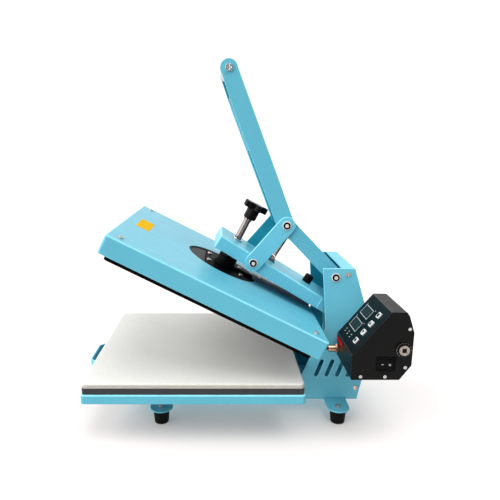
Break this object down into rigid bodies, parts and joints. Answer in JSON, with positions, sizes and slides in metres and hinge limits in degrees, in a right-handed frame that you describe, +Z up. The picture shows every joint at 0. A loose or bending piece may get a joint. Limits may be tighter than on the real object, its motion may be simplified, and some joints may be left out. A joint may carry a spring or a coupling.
{
  "type": "heat press",
  "caption": "Clamshell heat press with a slide-out lower platen, a lever-closed tilting heat head, a pressure knob and a side control box.",
  "frame": {"origin": "on the floor, midway between the drawer handle and the rear of the control box, on the press's mid-plane", "axes": "-X to the front where the drawer slides out, -Y to the control box side, +Z up"},
  "size_m": [0.58, 0.404, 0.6562],
  "materials": {
    "turquoise": "smooth powder coat",
    "chrome": "polished",
    "zinc": "zinc plated",
    "black_sheet": "fine textured black",
    "heat_coat": "dark non-stick coating",
    "casting_black": "satin black",
    "plate_grey": "dark grey coat",
    "silicone": "matte off-white silicone",
    "rubber_black": "matte",
    "knob_black": "satin",
    "panel_film": "satin film",
    "window_dark": "gloss",
    "light_clear": "clear",
    "button_grey": "satin",
    "board_green": "lacquer",
    "insulation": "rough board",
    "element_steel": "heat stained",
    "bar_steel": "dull grey",
    "spring_steel": "dark",
    "gland_brass": "nickel-tinged brass"
  },
  "bodies": {
    "frame": {"near_side_plate": "turquoise", "far_side_plate": "turquoise", "base_plate": "turquoise", "rear_cover": "turquoise", "rubber_feet": "rubber_black", "frame_screws": "chrome", "lever_pivot_bolt": "chrome", "lever_spacers": "zinc", "arm_pivot_shaft": "zinc", "fixed_rails": "zinc", "box_shell": "black_sheet", "box_side_cover": "black_sheet", "display_panel": "panel_film", "display_windows": "window_dark", "indicator_lights": "light_clear", "circuit_board": "board_green", "power_relay": "knob_black", "switch_bezel": "knob_black", "power_socket": "chrome", "box_screws": "chrome", "box_gland": "gland_brass", "heater_lead": "rubber_black"},
    "drawer": {"tray": "turquoise", "lower_plate": "plate_grey", "silicone_pad": "silicone", "drawer_handle": "turquoise", "drawer_hangers": "turquoise", "drawer_rails": "zinc"},
    "middle": {"middle_rails": "zinc"},
    "arm": {"arm_beam": "turquoise", "arm_cheeks": "turquoise", "arm_pivot_tube": "zinc", "link_pin": "zinc", "stop_bumper": "rubber_black", "screw_nut": "chrome", "spring_post": "zinc"},
    "head": {"head_cover": "turquoise", "heat_plate": "heat_coat", "heating_element": "element_steel", "insulation_board": "insulation", "centre_casting": "casting_black", "steady_bar": "bar_steel", "head_screws": "chrome", "head_grommet": "rubber_black"},
    "knob": {"pressure_screw": "chrome", "pressure_knob": "knob_black"},
    "lever": {"lever_frame": "turquoise", "grip_tube": "chrome", "grip_screws": "chrome", "elbow_bolt": "chrome", "spring_pin": "zinc"},
    "link": {"link_plates": "turquoise", "link_bolts": "chrome"},
    "spring": {"return_spring": "spring_steel"},
    "rocker": {"switch_rocker": "knob_black"},
    "press_button_1": {"button_1": "button_grey"},
    "press_button_2": {"button_2": "button_grey"},
    "press_button_3": {"button_3": "button_grey"},
    "press_button_4": {"button_4": "button_grey"}
  },
  "joints": [
    {"name": "lever_swing", "type": "hinge", "parent": "frame", "child": "lever", "pos_m": [0.181, 0, 0.2695], "axis": [0, -1, 0], "range_deg": [0, 62.86], "deforming": ["return_spring"]},
    {"name": "arm_swing", "type": "hinge", "parent": "frame", "child": "arm", "pos_m": [0.208, 0, 0.1205], "axis": [0, -1, 0], "range_deg": [0, 26.81], "deforming": ["heater_lead"]},
    {"name": "link_swing", "type": "hinge", "parent": "lever", "child": "link", "pos_m": [0.09003, 0, 0.36404], "axis": [0, -1, 0], "range_deg": [-88.36, 0]},
    {"name": "spring_swing", "type": "hinge", "parent": "arm", "child": "spring", "pos_m": [0.07072, 0, 0.2889], "axis": [0, -1, 0], "range_deg": [-56.52, 0]},
    {"name": "head_travel", "type": "slide", "parent": "arm", "child": "head", "axis": [0.4509, 0, 0.8926], "range_m": [0, 0.006]},
    {"name": "knob_turn", "type": "hinge", "parent": "head", "child": "knob", "pos_m": [-0.00385, 0, 0.31658], "axis": [0.4509, 0, 0.8926], "range_deg": [0, 1080.5]},
    {"name": "drawer_slide", "type": "slide", "parent": "frame", "child": "drawer", "axis": [-1, 0, 0], "range_m": [0, 0.28]},
    {"name": "middle_slide", "type": "slide", "parent": "frame", "child": "middle", "axis": [-1, 0, 0], "range_m": [0, 0.1401]},
    {"name": "rocker_tip", "type": "hinge", "parent": "frame", "child": "rocker", "pos_m": [0.2465, -0.186, 0.1482], "axis": [0, 0, 1], "range_deg": [0, 16]},
    {"name": "press_1", "type": "slide", "parent": "frame", "child": "press_button_1", "axis": [0.7724, 0, -0.6352], "range_m": [0, 0.0012], "stiffness_N_per_m": 600, "springref_m": -0.001},
    {"name": "press_2", "type": "slide", "parent": "frame", "child": "press_button_2", "axis": [0.7724, 0, -0.6352], "range_m": [0, 0.0012], "stiffness_N_per_m": 600, "springref_m": -0.001},
    {"name": "press_3", "type": "slide", "parent": "frame", "child": "press_button_3", "axis": [0.7724, 0, -0.6352], "range_m": [0, 0.0012], "stiffness_N_per_m": 600, "springref_m": -0.001},
    {"name": "press_4", "type": "slide", "parent": "frame", "child": "press_button_4", "axis": [0.7724, 0, -0.6352], "range_m": [0, 0.0012], "stiffness_N_per_m": 600, "springref_m": -0.001}
  ],
  "couplings": [
    {"joint": "arm_swing", "follows": "lever_swing", "ratio": 0.42637},
    {"joint": "link_swing", "follows": "lever_swing", "ratio": -1.4056},
    {"joint": "spring_swing", "follows": "lever_swing", "ratio": -0.89902},
    {"joint": "knob_turn", "follows": "head_travel", "rad_per_m": 3141.6},
    {"joint": "middle_slide", "follows": "drawer_slide", "ratio": 0.5}
  ]
}
